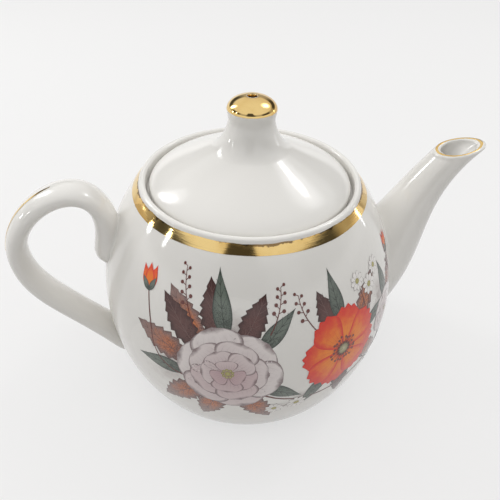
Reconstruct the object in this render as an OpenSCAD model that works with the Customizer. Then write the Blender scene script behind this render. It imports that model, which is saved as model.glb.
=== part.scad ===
// Porcelain teapot with a loose lid, in millimetres.
// Origin: on the pot's axis, on the plane the foot ring stands on.
// +X points to the spout, +Z up.  The handle lies on -X.

/* [Pot body] */
// Widest diameter of the pot
belly_d = 125; // [116:1:140]
// Height of the widest point
belly_z = 44; // [38:0.5:50]
// Height of the pot at its rim, without the lid
body_h = 96.7; // [92:0.1:104]
// Radius of the curve from the belly up to the shoulder
upper_curve_r = 79; // [74:0.5:92]
// Radius of the curve from the belly down to the foot
lower_curve_r = 84; // [76:0.5:110]
// Radius where the belly turns under to the foot
corner_r = 8.5; // [5:0.5:11]
// Thickness of the pot's wall
wall_t = 3.2; // [2.4:0.1:4.2]
// Thickness of the pot's floor
floor_t = 3.4; // [2.4:0.1:5]

/* [Foot ring] */
// Outer diameter of the foot ring
foot_d = 89; // [80:0.5:90]
// Height of the foot ring below the body
foot_h = 1.5; // [1:0.1:3]
// Width of the foot ring
foot_w = 3.2; // [2:0.1:5]
// Height of the glazed underside inside the foot ring
foot_recess = 2.2; // [1.6:0.1:4]

/* [Rim and gallery] */
// Width of the rounded lip round the mouth
lip_w = 2.6; // [2:0.1:3.4]
// Depth from the top of the lip to the ledge that carries the lid
seat_depth = 5.2; // [4:0.1:7]
// Width of the ledge that carries the lid
ledge_w = 4.8; // [3.5:0.1:7]
// Thickness of the ledge
ledge_t = 2.8; // [2:0.1:4]

/* [Strainer] */
// Diameter of one strainer hole behind the spout
strainer_hole_d = 3.4; // [2:0.1:4.2]
// Distance between neighbouring strainer holes
strainer_pitch = 5.8; // [5:0.1:6.4]
// Rings of holes round the middle one
strainer_rings = 2; // [1:1:2]
// Height of the middle strainer hole
strainer_z = 46; // [42:0.5:50]
// Plain margin round the outer holes
strainer_margin = 3; // [2:0.1:4]

/* [Spout] */
// How far the middle of the spout's mouth stands out past the belly
spout_reach = 29.5; // [26:0.5:36]
// Height of the middle of the spout's mouth above the rim
spout_rise = 3.5; // [0:0.5:8]
// Half thickness of the spout at its mouth, in the plane of the curve
spout_tip_r = 6.6; // [5.5:0.1:8]
// Half thickness of the spout at its root
spout_root_r = 23; // [20:0.5:25]
// How fast the spout narrows, 1 is a straight cone
spout_taper = 1.53; // [1.3:0.01:1.8]
// Width of the spout over its thickness
spout_oval = 1.16; // [1:0.01:1.25]
// Thickness of the spout's wall
spout_wall_t = 2.2; // [1.6:0.1:2.8]
// Slope of the spout's mouth, rising away from the pot
spout_lip_tilt = 10.5; // [0:0.5:18]

/* [Handle] */
// How far the middle of the handle stands out past the belly
handle_reach = 30; // [26:0.5:40]
// Height of the handle's outermost point
handle_mid_z = 70.5; // [66:0.5:76]
// Thickness of the handle
handle_t = 7.8; // [6:0.2:9]
// Width of the handle
handle_w = 15.4; // [12:0.2:18]
// Height of the end of the upper root, where it lies on the belly
handle_root_z = 62; // [59:0.5:67]
// Thickness of the rounded end that lies on the belly
handle_root_t = 13.6; // [11:0.2:15]
// Height of the handle's lower end
handle_foot_z = 9.5; // [8:0.5:14]
// Width of the handle's lower end
handle_foot_w = 19; // [15:0.2:22]

/* [Lid] */
// Play between the lid's edge and the lip, all round
lid_play = 1.4; // [0.8:0.1:2]
// Play between the lid's collar and the mouth, all round
collar_play = 1; // [0.6:0.1:1.6]
// Height of the gap left between the lid and its ledge
seat_gap = 0.25; // [0.2:0.05:0.4]
// Height of the lid's upright edge
lid_edge_h = 2.9; // [2:0.1:3.6]
// Thickness of the lid's wall
lid_wall_t = 2.8; // [2.2:0.1:3.4]
// Depth of the collar below the ledge's top face
collar_depth = 5.8; // [4.5:0.1:9]
// Thickness of the collar
collar_t = 2.6; // [2:0.1:3.2]
// Radius where the domed lid turns up into the knob
dome_r = 22; // [20:0.5:25]
// Height of that turn above the lid's edge
dome_rise = 8.7; // [7.5:0.1:10]

/* [Knob] */
// Radius of the knob's neck
neck_r = 8.95; // [8:0.05:10.5]
// Height of the knob's neck above the turn of the dome
neck_rise = 15.7; // [14:0.1:19]
// Radius of the knob's head
head_r = 9.15; // [8.5:0.05:11]
// Height from the narrowest part of the neck to the head's edge
head_rise = 3.5; // [2.5:0.1:5]
// Height of the domed top of the head
head_dome_h = 6.2; // [5:0.1:8]
// Thickness of the hollow knob's wall
knob_wall_t = 2.6; // [2:0.1:3]
// Diameter of the steam vent through the knob
vent_d = 4; // [2.5:0.1:5]

/* [Gilding] */
// Thickness of the fired gold
gold_t = 0.3; // [0.2:0.05:0.4]
// Height of the gold band below the lip
band_h = 3.1; // [2:0.1:5]
// Height of the plain lip above the gold band
band_drop = 1.5; // [1.4:0.1:3]
// Width of the gold line round the spout's mouth
spout_line_h = 0.9; // [0.6:0.1:1.4]
// Width of the gold stroke along the handle's back
stroke_w = 1.3; // [0.8:0.1:1.8]
// Where the stroke starts, as a share of the handle's upper curve
stroke_start = 0.58; // [0.5:0.01:0.8]
// Where the stroke ends, as a share of the handle's lower curve
stroke_end = 0.42; // [0.2:0.01:0.5]

/* [Hidden] */

turn_fn = 96;          // segments once round a turned piece
arc_n = 14;            // steps along a long arc of a profile
curve_n = 10;          // steps along a short curve of a profile
porcelain = "#f3f1ec";
gold = "#c99a3c";

belly_r = belly_d / 2;
foot_r = foot_d / 2;

// Points on an arc round c, from angle a0 to angle a1.
function arc(c, r, a0, a1, n) =
    [for (i = [0:n]) let (a = a0 + (a1 - a0) * i / n) c + r * [cos(a), sin(a)]];

// A cubic curve with control points p, and its direction, at t.
function bez(p, t) =
    pow(1 - t, 3) * p[0] + 3 * pow(1 - t, 2) * t * p[1] + 3 * (1 - t) * t * t * p[2] + pow(t, 3) * p[3];
function bez_dir(p, t) =
    let (d = pow(1 - t, 2) * (p[1] - p[0]) + 2 * (1 - t) * t * (p[2] - p[1]) + t * t * (p[3] - p[2]))
    d / norm(d);
function bez_pts(p, n, t0 = 0, t1 = 1) = [for (i = [0:n]) bez(p, t0 + (t1 - t0) * i / n)];

// The same open outline moved sideways by d, to its left for positive d.
function beside(p, d) =
    [for (i = [0:len(p) - 1])
        let (u = p[min(i + 1, len(p) - 1)] - p[max(i - 1, 0)], v = u / norm(u))
        p[i] + d * [-v[1], v[0]]];

function reversed(p) = [for (i = [len(p) - 1:-1:0]) p[i]];

// ---- Pot profile ----
upper_c = [belly_r - upper_curve_r, belly_z];
lower_c = [belly_r - lower_curve_r, belly_z];
function upper_a(z, r) = asin((z - belly_z) / r);
function shoulder_r(z) = upper_c[0] + sqrt(pow(upper_curve_r, 2) - pow(z - belly_z, 2));

turn_a = asin((belly_z - foot_h - corner_r) / (lower_curve_r - corner_r));
corner_c = lower_c + (lower_curve_r - corner_r) * [cos(turn_a), -sin(turn_a)];

lip_r = lip_w / 2;
lip_z = body_h - lip_r;
rim_r = shoulder_r(lip_z);
well_r = rim_r - lip_w;                  // inside of the lip, above the ledge
mouth_r = well_r - ledge_w;
seat_z = body_h - seat_depth;
band_top = body_h - band_drop;
band_bottom = band_top - band_h;

inner_upper_r = upper_curve_r - wall_t;
inner_lower_r = lower_curve_r - wall_t;
inner_corner_ease = 1;                   // the corner inside is this much rounder
inner_corner_r = corner_r + inner_corner_ease;
floor_z = foot_recess + floor_t;
inner_turn_a = asin((belly_z - floor_z - inner_corner_r) / (inner_lower_r - inner_corner_r));
inner_corner_c = lower_c + (inner_lower_r - inner_corner_r) * [cos(inner_turn_a), -sin(inner_turn_a)];
throat_drop = 4.7;                       // the ledge's underside meets the wall this far below it
throat_z = seat_z - ledge_t - throat_drop;
throat_r = upper_c[0] + sqrt(pow(inner_upper_r, 2) - pow(throat_z - belly_z, 2));

band_pts = arc(upper_c, upper_curve_r, upper_a(band_bottom, upper_curve_r),
               upper_a(band_top, upper_curve_r), 4);
// The wall is drawn in two halves that meet at the widest point.
outer_lower_pts = concat(
    arc(corner_c, corner_r, -90, -turn_a, 6),
    arc(lower_c, lower_curve_r, -turn_a * (arc_n - 1) / arc_n, 0, arc_n - 1));
outer_upper_pts = concat(
    arc(upper_c, upper_curve_r, 0, upper_a(band_bottom, upper_curve_r) * (arc_n - 1) / arc_n, arc_n - 1),
    band_pts);
lip_pts = arc([rim_r - lip_r, lip_z], lip_r, 0, 180, 10);
throat_ease_in = 2;                      // eases the ledge's underside into the wall
throat_ease_up = 2.5;
ledge_pts = concat(
    [[well_r, seat_z], [mouth_r, seat_z]],
    bez_pts([[mouth_r, seat_z - ledge_t], [well_r, seat_z - ledge_t],
             [throat_r - throat_ease_in, throat_z + throat_ease_up], [throat_r, throat_z]], curve_n));
inner_upper_pts =
    arc(upper_c, inner_upper_r, upper_a(throat_z, inner_upper_r) * (arc_n - 1) / arc_n, 0, arc_n - 1);
inner_lower_pts = concat(
    arc(lower_c, inner_lower_r, 0, -inner_turn_a, arc_n),
    arc(inner_corner_c, inner_corner_r, -inner_turn_a - 12, -90, 6));
foot_in_r = foot_r - foot_w;
foot_slope = 1.2;                        // the ring's inner side slopes into the underside
foot_edge = 0.3;                         // the ring's inner edge is broken by this much
foot_pts = [[0, foot_recess], [foot_in_r - foot_slope, foot_recess], [foot_in_r, foot_recess - foot_slope],
            [foot_in_r, foot_edge], [foot_in_r + foot_edge, 0], [foot_r, 0], [foot_r, foot_h]];

cut_past = 5;                            // cutters for the wall reach this far past the belly
strainer_field_r = strainer_rings * strainer_pitch + strainer_hole_d / 2 + strainer_margin;

// The pot as a filled form: what the spout and the handle are trimmed against.
module pot_form() {
    rotate_extrude($fn = turn_fn)
        polygon(concat([[0, foot_h]], outer_lower_pts, outer_upper_pts, [[0, band_top]]));
}

// The round field of the wall that holds the strainer.
module strainer_field() {
    translate([0, 0, strainer_z])
        rotate([0, 90, 0])
            cylinder(h = belly_r + cut_past, r = strainer_field_r, $fn = turn_fn);
}

module strainer_holes() {
    row_z = strainer_pitch * sin(60);
    for (j = [-strainer_rings:strainer_rings])
        for (i = [0:2 * strainer_rings - abs(j)])
            translate([0, (i - strainer_rings + abs(j) / 2) * strainer_pitch, strainer_z + j * row_z])
                rotate([0, 90, 0])
                    cylinder(h = belly_r + cut_past, d = strainer_hole_d, $fn = 32);
}

module lower_wall() {
    rotate_extrude($fn = turn_fn)
        polygon(concat(foot_pts, outer_lower_pts, inner_lower_pts, [[0, floor_z]]));
}

module upper_wall() {
    rotate_extrude($fn = turn_fn)
        polygon(concat(outer_upper_pts, lip_pts, ledge_pts, inner_upper_pts));
}

// The bowl, from the foot ring up to the widest point.
module pot_body() {
    color(porcelain) difference() {
        lower_wall();
        strainer_field();
    }
}

// From the widest point up to the lip, with the ledge for the lid.
module pot_shoulder() {
    color(porcelain) difference() {
        upper_wall();
        strainer_field();
    }
}

module strainer() {
    color(porcelain) difference() {
        intersection() {
            union() {
                lower_wall();
                upper_wall();
            }
            strainer_field();
        }
        strainer_holes();
    }
}

module shoulder_gold_band() {
    color(gold) rotate_extrude($fn = turn_fn)
        polygon(concat(band_pts, reversed(beside(band_pts, -gold_t))));
}

// ---- Lofted pieces: rings of points in planes square to a curve in the XZ plane ----
// The half turn of a step puts a flat facet, and not an edge, on the ridge of the curve.
function oval_ring(c, d, a, b, n) =
    [for (k = [0:n - 1]) let (u = 360 * (k + 0.5) / n)
        [c[0] - d[1] * a * cos(u), b * sin(u), c[1] + d[0] * a * cos(u)]];

module loft(rings) {
    n = len(rings[0]);
    m = len(rings);
    sides = [for (j = [0:m - 2], k = [0:n - 1])
        let (p = j * n + k, q = j * n + (k + 1) % n)
        each [[p, q, p + n], [q, q + n, p + n]]];
    polyhedron([for (r = rings) each r],
               concat([[for (k = [n - 1:-1:0]) k]], sides, [[for (k = [0:n - 1]) (m - 1) * n + k]]));
}

// ---- Spout ----
spout_sides = 32;
spout_steps = 20;
spout_end_t = 1.1;                       // the curve runs on past the mouth, to be cut there
spout_start_in = 22.5;                   // the curve starts this far inside the belly
spout_start_drop = 14;                   // and this far below the widest point
spout_swell_out = 14.5;                  // pulls the lower part of the curve outwards
spout_swell_up = 6;
spout_neck_out = 2.5;                    // pulls the upper part back to the pot
spout_neck_drop = 24.7;
spout_path = [[belly_r - spout_start_in, belly_z - spout_start_drop],
              [belly_r + spout_swell_out, belly_z + spout_swell_up],
              [belly_r + spout_neck_out, body_h - spout_neck_drop],
              [belly_r + spout_reach, body_h + spout_rise]];
function spout_r(t) = spout_tip_r + (spout_root_r - spout_tip_r) * pow(max(0, 1 - t), spout_taper);
function spout_ring(t, grow) =
    oval_ring(bez(spout_path, t), bez_dir(spout_path, t),
              spout_r(t) + grow, spout_r(t) * spout_oval + grow, spout_sides);

module spout_form(grow) {
    loft([for (i = [0:spout_steps]) spout_ring(spout_end_t * i / spout_steps, grow)]);
}

// Everything above the plane of the spout's mouth, moved down by drop.
module above_mouth(drop) {
    big = 4 * spout_root_r;
    translate([spout_path[3][0], 0, spout_path[3][1]])
        rotate([0, -spout_lip_tilt, 0])
            translate([-big / 2, -big / 2, -drop])
                cube(big);
}

module spout() {
    color(porcelain) difference() {
        spout_form(0);
        spout_form(-spout_wall_t);
        above_mouth(gold_t);
        pot_form();
    }
}

// A gold line that caps the mouth's edge.
module spout_lip_gold() {
    color(gold) intersection() {
        difference() {
            spout_form(0);
            spout_form(-spout_line_h);
            above_mouth(0);
        }
        above_mouth(gold_t);
    }
}

// ---- Handle ----
handle_sides = 24;
handle_upper_steps = 22;
handle_lower_steps = 16;
handle_x = -belly_r - handle_reach;
handle_root_in = 3.2;                    // the upper end lies this far inside the belly
handle_spring_in = 15.4;                 // pulls the upper curve in over the shoulder
handle_spring_up = 18.4;                 // and up above the rim
handle_crown_drop = 1.3;
handle_bend_h = 19.7;                    // length of the upright back
handle_turn_in = 14.5;                   // pulls the curve in towards the lower end
handle_turn_drop = 27.7;
handle_end_in = 8.8;                     // the lower end lies this far in from the widest point
handle_upper = [[-belly_r + handle_root_in, handle_root_z],
                [-belly_r + handle_spring_in, body_h + handle_spring_up],
                [handle_x, body_h - handle_crown_drop],
                [handle_x, handle_mid_z]];
handle_lower = [[handle_x, handle_mid_z],
                [handle_x, handle_mid_z - handle_bend_h],
                [handle_x + handle_turn_in, handle_mid_z - handle_turn_drop],
                [-belly_r + handle_end_in, handle_foot_z]];
cap_share = 0.055;                       // part of the upper curve taken by its rounded end
lower_cap_share = 0.1;                   // the same on the lower curve
upper_swell = 0.34;                      // part of the upper curve over which its end thickens
lower_swell = 0.4;                       // the same on the lower curve
lower_swell_share = 0.34;                // the lower end thickens by this share of the upper one

// Along the handle s runs 0 to 1 on the upper curve and 1 to 2 on the lower one.
function handle_at(s) = s < 1 ? bez(handle_upper, s) : bez(handle_lower, s - 1);
function handle_dir(s) = s < 1 ? bez_dir(handle_upper, s) : bez_dir(handle_lower, s - 1);
function upper_root(s) = pow(max(0, 1 - s / upper_swell), 2);
function lower_root(s) = pow(max(0, (s - 2) / lower_swell + 1), 2);
// Each end closes to a small flat, so that its last ring keeps a size.
cap_flat = 0.02;
function cap_left(s) = max(0, 1 - s / cap_share, (s - 2) / lower_cap_share + 1);
function end_round(s) = sqrt(1 - pow(cap_left(s), 2) * (1 - cap_flat));
function handle_half_t(s) =
    let (swell = upper_root(s) + lower_swell_share * lower_root(s))
    (handle_t + (handle_root_t - handle_t) * swell) / 2 * end_round(s);
function handle_half_w(s) = (handle_w + (handle_foot_w - handle_w) * lower_root(s)) / 2 * end_round(s);
function handle_ring(s) =
    oval_ring(handle_at(s), handle_dir(s), handle_half_t(s), handle_half_w(s), handle_sides);

// Where the rings stand along the handle: its rounded ends, and the length between them.
cap_steps = 4;
cap_turn = 90 / cap_steps;
upper_cap_stops = [for (i = [0:cap_steps]) cap_share * (1 - cos(cap_turn * i))];
lower_cap_stops = [for (i = [1:cap_steps]) 2 - lower_cap_share * (1 - sin(cap_turn * i))];
length_stops = concat(
    [for (i = [2:handle_upper_steps]) i / handle_upper_steps],
    [for (i = [1:handle_lower_steps]) 1 + (1 - lower_cap_share) * i / handle_lower_steps]);

module handle() {
    color(porcelain) difference() {
        loft([for (s = concat(upper_cap_stops, length_stops, lower_cap_stops)) handle_ring(s)]);
        pot_form();
    }
}

// The stroke lies on the flat facet along the handle's outer ridge, from ring to ring.
module handle_gold_stroke() {
    stroke_stops = [for (s = length_stops) if (s >= stroke_start && s <= 1 + stroke_end) s];
    facet = cos(180 / handle_sides);
    function out_dir(s) = let (d = handle_dir(s)) [d[1], -d[0]];
    function stroke_ring(s) =
        let (o = out_dir(s), c = handle_at(s) + o * handle_half_t(s) * facet)
        let (e = c + o * gold_t, h = stroke_w / 2)
        [[c[0], -h, c[1]], [c[0], h, c[1]], [e[0], h, e[1]], [e[0], -h, e[1]]];
    color(gold) loft([for (s = stroke_stops) stroke_ring(s)]);
}

// ---- Lid ----
lid_r = well_r - lid_play;
lid_z = seat_z + seat_gap;
edge_z = lid_z + lid_edge_h;
turn_z = edge_z + dome_rise;
collar_r = mouth_r - collar_play;
collar_in_r = collar_r - collar_t;
neck_z = turn_z + neck_rise;
head_z = neck_z + head_rise;

dome_edge_in = 2.5;                      // pulls the dome's curve in above the edge
dome_edge_up = 5;
dome_slope_out = 7;                      // sets the dome's slope where it meets the flare
dome_slope_down = 2.7;
flare_slope_in = 8.5;                    // the same slope carried on into the flare
flare_slope_up = 3.2;
flare_neck_out = 1.2;                    // draws the flare up into the neck
flare_neck_down = 5.5;
dome_curve = [[lid_r, edge_z],
              [lid_r - dome_edge_in, edge_z + dome_edge_up],
              [dome_r + dome_slope_out, turn_z - dome_slope_down],
              [dome_r, turn_z]];
flare_curve = [[dome_r, turn_z],
               [dome_r - flare_slope_in, turn_z + flare_slope_up],
               [neck_r + flare_neck_out, neck_z - flare_neck_down],
               [neck_r, neck_z]];
knob_share = 0.42;                       // part of the flare that belongs to the lid
knob_foot = bez(flare_curve, knob_share);

lid_top = concat(bez_pts(dome_curve, arc_n), bez_pts(flare_curve, curve_n, 0.05, knob_share));
lid_chamfer = 0.5;
lid_under = [for (p = beside(lid_top, lid_wall_t)) if (p[0] < collar_in_r && p[1] < knob_foot[1]) p];
foot_bore_r = lid_under[len(lid_under) - 1][0];

module lid() {
    color(porcelain) rotate_extrude($fn = turn_fn)
        polygon(concat(
            [[collar_r, lid_z - seat_gap - collar_depth], [collar_r, lid_z],
             [lid_r - lid_chamfer, lid_z], [lid_r, lid_z + lid_chamfer]],
            lid_top,
            [[foot_bore_r, knob_foot[1]]],
            reversed(lid_under),
            [[collar_in_r, lid_under[0][1]], [collar_in_r, lid_z - seat_gap - collar_depth]]));
}

// ---- Knob ----
vent_r = vent_d / 2;
function head_pts(grow) =
    let (r = head_r + grow, h = head_dome_h + grow, a = acos(vent_r / r))
    [for (i = [0:curve_n]) [r * cos(a * i / curve_n), head_z + h * sin(a * i / curve_n)]];
neck_pts = bez_pts([[neck_r, neck_z], [neck_r - 0.1, neck_z + head_rise * 0.4],
                    [head_r, head_z - head_rise * 0.4], [head_r, head_z]], 5);

module lid_knob() {
    flare = bez_pts(flare_curve, curve_n, knob_share, 0.95);
    skin = concat(flare, neck_pts);
    bore = concat([[foot_bore_r, knob_foot[1]]],
                  [for (p = beside(skin, knob_wall_t))
                      if (p[1] > knob_foot[1] && p[0] < foot_bore_r && p[1] < head_z) p]);
    color(porcelain) rotate_extrude($fn = turn_fn)
        polygon(concat(skin, head_pts(0), reversed(head_pts(-knob_wall_t)), reversed(bore)));
}

module knob_gold_cap() {
    color(gold) rotate_extrude($fn = turn_fn)
        polygon(concat(head_pts(0), reversed(head_pts(gold_t))));
}

pot_body();
pot_shoulder();
strainer();
spout();
handle();
lid();
lid_knob();
shoulder_gold_band();
spout_lip_gold();
knob_gold_cap();
handle_gold_stroke();
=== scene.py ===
import bpy
import random
from math import acos, asin, atan2, cos, degrees, hypot, pi, radians, sin, sqrt
from mathutils import Matrix, Vector, noise


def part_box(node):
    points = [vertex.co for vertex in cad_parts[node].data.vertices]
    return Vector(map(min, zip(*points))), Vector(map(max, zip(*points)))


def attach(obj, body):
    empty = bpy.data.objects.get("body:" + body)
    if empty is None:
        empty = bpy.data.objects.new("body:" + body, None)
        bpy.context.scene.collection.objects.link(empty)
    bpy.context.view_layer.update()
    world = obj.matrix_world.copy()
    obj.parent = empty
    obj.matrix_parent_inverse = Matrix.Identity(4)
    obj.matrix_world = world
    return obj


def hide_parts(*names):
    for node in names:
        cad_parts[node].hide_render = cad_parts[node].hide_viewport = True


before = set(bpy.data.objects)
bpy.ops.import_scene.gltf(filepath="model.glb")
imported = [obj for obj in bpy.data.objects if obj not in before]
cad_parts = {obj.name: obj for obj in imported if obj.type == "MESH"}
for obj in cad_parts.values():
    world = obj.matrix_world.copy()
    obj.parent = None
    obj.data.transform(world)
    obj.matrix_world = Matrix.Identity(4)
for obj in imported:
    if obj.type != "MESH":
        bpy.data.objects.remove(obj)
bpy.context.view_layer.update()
mm = 0.001
tau = 2 * pi
print("frame loaded")


def deselectAll():
    if bpy.context.object and bpy.context.object.mode != "OBJECT":
        bpy.ops.object.mode_set(mode="OBJECT")
    bpy.ops.object.select_all(action="DESELECT")


def makeActive(piece):
    deselectAll()
    piece.select_set(True)
    bpy.context.view_layer.objects.active = piece


def applyModifiers(piece):
    makeActive(piece)
    for modifier in list(piece.modifiers):
        bpy.ops.object.modifier_apply(modifier=modifier.name)


def join(pieces, name):
    makeActive(pieces[0])
    for piece in pieces:
        piece.select_set(True)
    bpy.ops.object.join()
    pieces[0].name = name
    return pieces[0]


def thicken(piece, thickness):
    shell = piece.modifiers.new("shell", "SOLIDIFY")
    shell.thickness = thickness * mm
    shell.offset = -1
    applyModifiers(piece)


def finishPiece(piece, name, material, body, nodes=(), smoothAngle=40):
    piece.name = name
    piece.data.name = name
    makeActive(piece)
    bpy.ops.object.transform_apply(location=True, rotation=True, scale=True)
    bpy.ops.object.shade_smooth_by_angle(angle=radians(smoothAngle))
    piece.data.materials.clear()
    piece.data.materials.append(material)
    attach(piece, body)
    if nodes:
        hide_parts(*nodes)
    return piece


def polar(r, angle, z=0.0):
    return Vector((r * cos(angle), r * sin(angle), z))


def arcPoints(centre, radius, fromDeg, toDeg, steps):
    angles = [radians(fromDeg + (toDeg - fromDeg) * i / steps) for i in range(steps + 1)]
    return [centre + radius * Vector((cos(a), sin(a))) for a in angles]


def curveAt(p, t):
    return (1 - t) ** 3 * p[0] + 3 * (1 - t) ** 2 * t * p[1] + 3 * (1 - t) * t * t * p[2] + t ** 3 * p[3]


def curveDirection(p, t):
    d = (1 - t) ** 2 * (p[1] - p[0]) + 2 * (1 - t) * t * (p[2] - p[1]) + t * t * (p[3] - p[2])
    return d.normalized()


def curvePoints(p, steps, fromT=0.0, toT=1.0):
    return [curveAt(p, fromT + (toT - fromT) * i / steps) for i in range(steps + 1)]


def points2(pairs):
    return [Vector(pair) for pair in pairs]


def beside(points, distance):      # the same open outline moved to its left
    moved = []
    for i, p in enumerate(points):
        d = (points[min(i + 1, len(points) - 1)] - points[max(i - 1, 0)]).normalized()
        moved.append(p + distance * Vector((-d.y, d.x)))
    return moved


def editAll():
    bpy.ops.object.mode_set(mode="EDIT")
    bpy.ops.mesh.select_all(action="SELECT")


def weld(threshold=0.002, outwards=True):      # joins the doubled points of the active mesh
    editAll()
    bpy.ops.mesh.remove_doubles(threshold=threshold * mm)
    if outwards:
        bpy.ops.mesh.normals_make_consistent(inside=False)
    bpy.ops.object.mode_set(mode="OBJECT")


def turned(profile, sides):        # a profile drawn point by point and spun round the pot's axis
    deselectAll()
    bpy.ops.mesh.primitive_plane_add(size=mm, location=(profile[0].x * mm, 0, profile[0].y * mm))
    piece = bpy.context.object
    editAll()
    bpy.ops.mesh.merge(type="CENTER")
    for here, there in zip(profile, profile[1:]):
        step = ((there.x - here.x) * mm, 0, (there.y - here.y) * mm)
        bpy.ops.mesh.extrude_vertices_move(TRANSFORM_OT_translate={"value": step})
    bpy.ops.mesh.select_all(action="SELECT")
    bpy.ops.mesh.spin(steps=sides, angle=tau, center=(0, 0, 0), axis=(0, 0, 1))
    weld()
    bpy.ops.object.transform_apply(location=True, rotation=True, scale=True)
    return piece


def rings(count, sides, point):    # point(i, k, angle) fills a table whose last column is its first again
    return [[point(i, k, tau * k / sides) for k in (*range(sides), 0)] for i in range(count)]


def skin(table, closed=True):      # a grid laid over a table of points, row by row
    rows, columns = len(table), len(table[0])
    deselectAll()
    bpy.ops.mesh.primitive_grid_add(x_subdivisions=columns - 1, y_subdivisions=rows - 1, size=1)
    piece = bpy.context.object
    for vertex in piece.data.vertices:
        column = round((vertex.co.x + 0.5) * (columns - 1))
        row = round((vertex.co.y + 0.5) * (rows - 1))
        vertex.co = table[row][column] * mm
    if closed:
        weld()
    return piece


# node helpers

def newMaterial(name):
    material = bpy.data.materials.new(name)
    material.use_nodes = True
    return material, material.node_tree, material.node_tree.nodes["Principled BSDF"]


def feed(made, inputs):            # each input is linked to a socket or set to a value
    for key, value in inputs.items():
        socket = made.inputs[key]
        if isinstance(value, bpy.types.NodeSocket):
            made.id_data.links.new(value, socket)
        elif socket.type == "RGBA":
            socket.default_value = (*value[:3], 1)
        else:
            socket.default_value = value


def node(tree, kind, inputs=None, **settings):
    made = tree.nodes.new(kind)
    for key, value in settings.items():
        setattr(made, key, value)
    feed(made, inputs or {})
    return made


def treeOf(*values):               # the node tree that the sockets among the values belong to
    return next(value.id_data for value in values if isinstance(value, bpy.types.NodeSocket))


def maths(operation, *values):
    return node(treeOf(*values), "ShaderNodeMath", dict(enumerate(values)), operation=operation).outputs[0]


def times(a, b):
    return maths("MULTIPLY", a, b)


def plus(a, b):
    return maths("ADD", a, b)


def minus(a, b):
    return maths("SUBTRACT", a, b)


def coordinates(tree, kind="Object"):
    return node(tree, "ShaderNodeTexCoord").outputs[kind]


def split(vector):
    return node(treeOf(vector), "ShaderNodeSeparateXYZ", {0: vector}).outputs


def mixColour(factor, a, b):
    made = node(treeOf(factor, a, b), "ShaderNodeMix", data_type="RGBA", clamp_factor=True)
    feed(made, {0: factor, 6: a, 7: b})
    return made.outputs[2]


def ramp(factor, stops, interpolation="EASE"):
    made = node(treeOf(factor), "ShaderNodeValToRGB", {0: factor})
    made.color_ramp.interpolation = interpolation
    elements = made.color_ramp.elements
    while len(elements) < len(stops):
        elements.new(0.5)
    for element, (position, colour) in zip(elements, stops):
        element.position = position
        element.color = (*colour, 1) if isinstance(colour, tuple) else (colour, colour, colour, 1)
    return made.outputs[0]


def noiseValue(vector, scale, detail=2.0, roughness=0.5):
    inputs = {"Vector": vector, "Scale": scale, "Detail": detail, "Roughness": roughness}
    return node(treeOf(vector), "ShaderNodeTexNoise", inputs).outputs["Fac"]


def cellDistance(vector, scale):
    inputs = {"Vector": vector, "Scale": scale}
    return node(treeOf(vector), "ShaderNodeTexVoronoi", inputs, feature="F1").outputs["Distance"]


def bumpNormal(height, strength, depth):
    inputs = {"Height": height, "Strength": strength, "Distance": depth * mm}
    return node(treeOf(height), "ShaderNodeBump", inputs).outputs[0]


def mixShaders(factor, a, b, target):
    tree = treeOf(factor)
    mix = node(tree, "ShaderNodeMixShader", {0: factor, 1: a, 2: b})
    feed(tree.nodes[target], {0: mix.outputs[0]})


# glaze and gold as materials

glazing = {
    "toneScale": 28,
    "rippleScale": 95,
    "grainScale": 700,
    "pinholeScale": 160,
    "pinholeR": 0.035,
    "patchScale": 45,
    "patchFrom": 0.66,        # pinholes lie only where the patchy noise is above this
    "specks": 1.0,
    "roughness": 0.05,
    "roughnessSpread": 0.035,
    "rippleH": 0.9,
    "grainH": 0.03,
    "bump": 0.09,
    "bumpDepth": 0.4,
    "ior": 1.52,
}


def makeGlazeGroup():
    group = bpy.data.node_groups.new("glazeSurface", "ShaderNodeTree")
    for way, names in (("INPUT", ("Speck Amount", "Base Roughness")),
                       ("OUTPUT", ("Tone", "Specks", "Roughness", "Height"))):
        for name in names:
            group.interface.new_socket(name=name, in_out=way, socket_type="NodeSocketFloat")
    inside = node(group, "NodeGroupInput").outputs
    place = coordinates(group)
    tone = noiseValue(place, glazing["toneScale"], 2)
    ripple = noiseValue(place, glazing["rippleScale"], 1.5)
    grain = noiseValue(place, glazing["grainScale"], 2)
    pinhole = maths("LESS_THAN", cellDistance(place, glazing["pinholeScale"]), glazing["pinholeR"])
    rare = maths("GREATER_THAN", noiseValue(place, glazing["patchScale"], 0), glazing["patchFrom"])
    specks = times(times(pinhole, rare), inside["Speck Amount"])
    rough = plus(inside["Base Roughness"], times(tone, glazing["roughnessSpread"]))
    height = plus(times(ripple, glazing["rippleH"]), times(grain, glazing["grainH"]))
    node(group, "NodeGroupOutput", {"Tone": tone, "Specks": specks, "Roughness": rough, "Height": height})
    return group


glazeGroup = makeGlazeGroup()


def addGlaze(shader):
    values = {"Speck Amount": glazing["specks"], "Base Roughness": glazing["roughness"]}
    glaze = node(shader.id_data, "ShaderNodeGroup", values, node_tree=glazeGroup).outputs
    normal = bumpNormal(glaze["Height"], glazing["bump"], glazing["bumpDepth"])
    feed(shader, {"Roughness": glaze["Roughness"], "Normal": normal, "IOR": glazing["ior"]})
    return glaze


porcelain = {
    "light": (0.80, 0.782, 0.745),
    "deep": (0.765, 0.747, 0.71),
    "speck": (0.33, 0.28, 0.22),
    "bisque": (0.62, 0.59, 0.54),
    "bisqueDeep": (0.48, 0.45, 0.40),
    "bisqueScale": 900,
    "bisqueRoughness": 0.62,
    "bareZ": 0.25,            # the foot ring has no glaze below this height
}


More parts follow.
